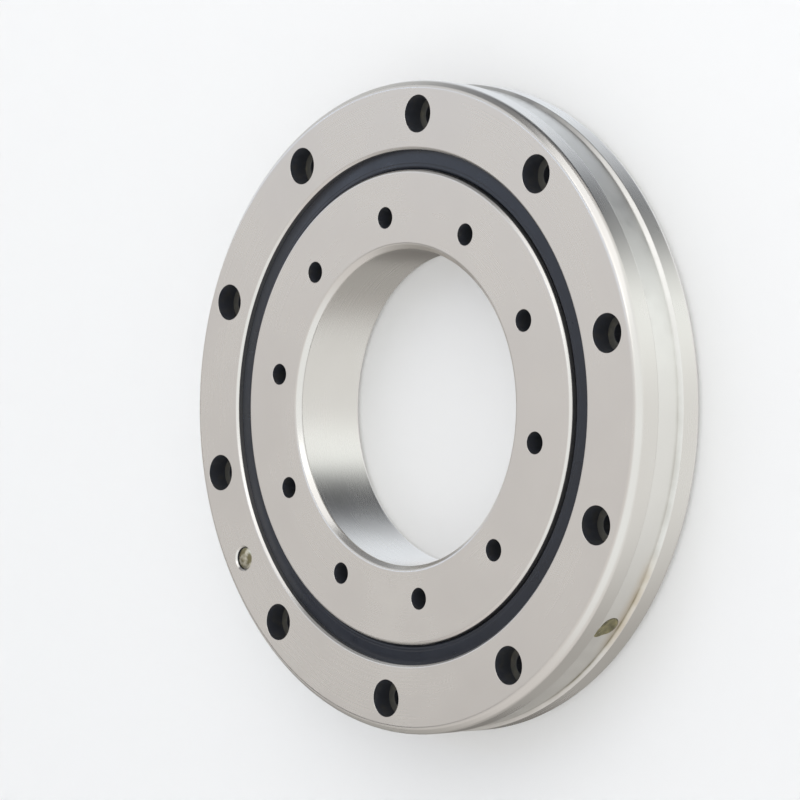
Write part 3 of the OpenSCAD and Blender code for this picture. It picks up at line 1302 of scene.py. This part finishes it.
@dataclass
class Studio:
    """A pale floor, soft light and the camera."""

    # The floor lies a hair under the bearing
    floor_z: float = -(HALF_W + 0.05) * MM
    floor_colour: str = "F1F1F1"
    room_r: float = 3.0
    wall_h: float = 3.0
    cove_r: float = 1.2
    # Where the photograph was taken from, and how the camera was turned about X, Y and Z, in degrees
    camera_place: tuple[float, float, float] = (606.827 * MM, -150.935 * MM, 582.0 * MM)
    camera_turn: tuple[float, float, float] = (0.5195, 47.6247, -13.4296)
    lens_mm: float = 150.98
    sensor_mm: float = 36.0
    key_from: tuple[float, float, float] = (0.475, 0.611, 0.629)
    key_distance: float = 1.0
    key_size: float = 0.86
    key_watts: float = 3.2
    wall: str = "F6F3F1"
    # Each patch is painted over those before it
    patches: tuple[Patch, ...] = (
        Patch((1.20, 1.24, 1.25), ahead=(0.25, 0.7), aside=(-0.8, -0.3)),
        Patch((1.04, 1.05, 1.04), aside=(0.45, 0.8)),
        Patch((1.32, 1.37, 1.36), over=(0.0, 0.32), aside=(0.4, 0.85)),
        Patch((0.07, 0.075, 0.085), over=(0.44, 0.68), ahead=(0.15, -0.02), aside=(-0.62, -0.45)),
        Patch((0.07, 0.075, 0.085), over=(0.42, 0.6), ahead=(0.0, 0.2), aside=(0.25, -0.05)),
        Patch((0.27, 0.28, 0.30), over=(0.5, 0.7), ahead=(0.1, -0.25), aside=(-0.15, -0.35)),
        Patch((1.12, 1.19, 1.28), over=(0.1, 0.45), ahead=(-0.29, -0.78)),
        Patch((0.72, 0.73, 0.73), over=(0.1, 0.45), ahead=(-0.38, -0.62), aside=(-0.05, -0.35)),
        Patch((0.50, 0.49, 0.47), over=(-0.3, -0.5), ahead=(-0.05, -0.45)),
        Patch((0.16, 0.15, 0.14), over=(-0.02, -0.25), ahead=(-0.75, -0.92)),
        Patch((1.38, 1.60, 2.02), over=(0.18, 0.25), aside=(-0.6, -0.85)),
        Patch((0.88, 0.89, 0.90), over=(0.28, 0.35), aside=(-0.5, -0.75)),
        Patch((0.40, 0.39, 0.38), over=(0.16, 0.0), ahead=(-0.2, -0.36), aside=(-0.7, -0.88)),
        Patch((0.12, 0.12, 0.13), over=(-0.12, -0.24), ahead=(0.15, 0.0), aside=(-0.75, -0.9)),
        Patch((0.80, 0.78, 0.76), over=(-0.32, -0.42), ahead=(0.15, 0.0), aside=(-0.65, -0.85)),
    )

    def view(self) -> Matrix:
        """Gives the camera's turn, whose columns point to the picture's right, up and towards the camera."""
        return Euler([math.radians(angle) for angle in self.camera_turn]).to_matrix()

    def set_camera(self) -> None:
        """Puts the camera where the photograph was taken from."""
        data = bpy.data.cameras.new("camera")
        data.lens, data.sensor_width = self.lens_mm, self.sensor_mm
        camera = bpy.data.objects.new("camera", data)
        bpy.context.scene.collection.objects.link(camera)
        camera.matrix_world = Matrix.Translation(self.camera_place) @ self.view().to_4x4()
        bpy.context.scene.camera = camera

    def lay_floor(self) -> None:
        """Lays the floor, which turns up into a wall all round, far from the bearing.

        The room light is painted on the world, so the floor hides none of it from the steel's reflections.
        """
        bpy.ops.object.select_all(action="DESELECT")
        bpy.ops.mesh.primitive_circle_add(vertices=96, radius=self.room_r, fill_type="NGON",
                                          enter_editmode=True, location=(0, 0, 0))
        floor = bpy.context.object
        floor.name = "floor"
        bpy.ops.mesh.select_all(action="SELECT")
        bpy.ops.transform.translate(value=(0, 0, self.floor_z))
        bpy.ops.mesh.region_to_loop()
        bpy.ops.mesh.extrude_region_move(TRANSFORM_OT_translate={"value": (0, 0, self.wall_h)})
        pick_points(floor, lambda p: p.z < self.floor_z + self.wall_h / 2)
        bpy.ops.mesh.select_mode(type="EDGE")
        bpy.ops.mesh.bevel(offset=self.cove_r, segments=12, affect="EDGES")
        bpy.ops.mesh.select_all(action="SELECT")
        bpy.ops.mesh.normals_make_consistent(inside=True)
        bpy.ops.object.mode_set(mode="OBJECT")
        bpy.ops.object.shade_smooth()
        material, tree, shader = new_material("floor_matt_white")
        feed(tree, shader, {"Base Color": linear(self.floor_colour), "Roughness": 0.8,
                            "Specular IOR Level": 0.0})
        floor.data.materials.append(material)
        floor.visible_glossy = floor.visible_shadow = False

    def hang_lamp(self) -> None:
        """Hangs the soft key light above the bearing's upper side."""
        data = bpy.data.lights.new("key_softbox", "AREA")
        data.shape, data.size, data.energy = "SQUARE", self.key_size, self.key_watts
        lamp = bpy.data.objects.new("key_softbox", data)
        bpy.context.scene.collection.objects.link(lamp)
        towards = Vector(self.key_from).normalized()
        lamp.visible_camera = False
        lamp.location = towards * self.key_distance
        lamp.rotation_euler = towards.to_track_quat("Z", "Y").to_euler()

    def light_world(self) -> None:
        """Lights the room: pale walls, a bright window at the right, dim corners overhead and low behind."""
        world = bpy.data.worlds.new("studio")
        bpy.context.scene.world = world
        world.use_nodes = True
        tree = world.node_tree
        tree.nodes.clear()
        way = add_node(tree, "ShaderNodeTexCoord").outputs["Generated"]
        aside, over, ahead = (
            add_node(tree, "ShaderNodeVectorMath", {0: way, 1: axis}, operation="DOT_PRODUCT")
            for axis in self.view().col)
        colour = linear(self.wall)
        for patch in self.patches:
            share = None
            for along, start, full in ((over, *patch.over), (ahead, *patch.ahead), (aside, *patch.aside)):
                if start == full:
                    continue
                ramp = add_node(tree, "ShaderNodeMapRange",
                                {"Value": along.outputs["Value"], "From Min": start, "From Max": full},
                                interpolation_type="SMOOTHSTEP")
                share = ramp if share is None else add_node(
                    tree, "ShaderNodeMath", {0: share.outputs[0], 1: ramp.outputs[0]}, operation="MULTIPLY")
            mixed = add_node(tree, "ShaderNodeMix",
                             {MIX_SHARE: share.outputs[0], MIX_FROM: colour, MIX_TO: (*patch.light, 1)},
                             data_type="RGBA")
            colour = mixed.outputs[MIX_RESULT]
        light = add_node(tree, "ShaderNodeBackground", {"Color": colour, "Strength": 1.0})
        add_node(tree, "ShaderNodeOutputWorld", {"Surface": light.outputs[0]})

    def build(self) -> None:
        """Sets up the whole studio."""
        bpy.context.scene.view_settings.view_transform = "Standard"
        self.set_camera()
        self.lay_floor()
        self.hang_lamp()
        self.light_world()


def main() -> None:
    """Builds the bearing's pieces in order, then the studio."""
    logging.basicConfig(level=logging.INFO, format="%(name)s: %(message)s")
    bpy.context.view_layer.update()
    finishes = Finishes()
    outer = OuterRing()
    for piece in (
        outer.build_ring(finishes),
        outer.build_plug(finishes),
        outer.pin.build(finishes),
        InnerRing().build(finishes),
        Seal(Side.FRONT).build(finishes),
        Seal(Side.REAR).build(finishes),
        PortFilling(outer).build(finishes),
    ):
        log.info("%s has %d faces", piece.name, len(piece.data.polygons))
    log.info("dressed %d solids", len(RollingSet().dress(finishes)))
    Studio().build()


if __name__ == "__main__":
    main()
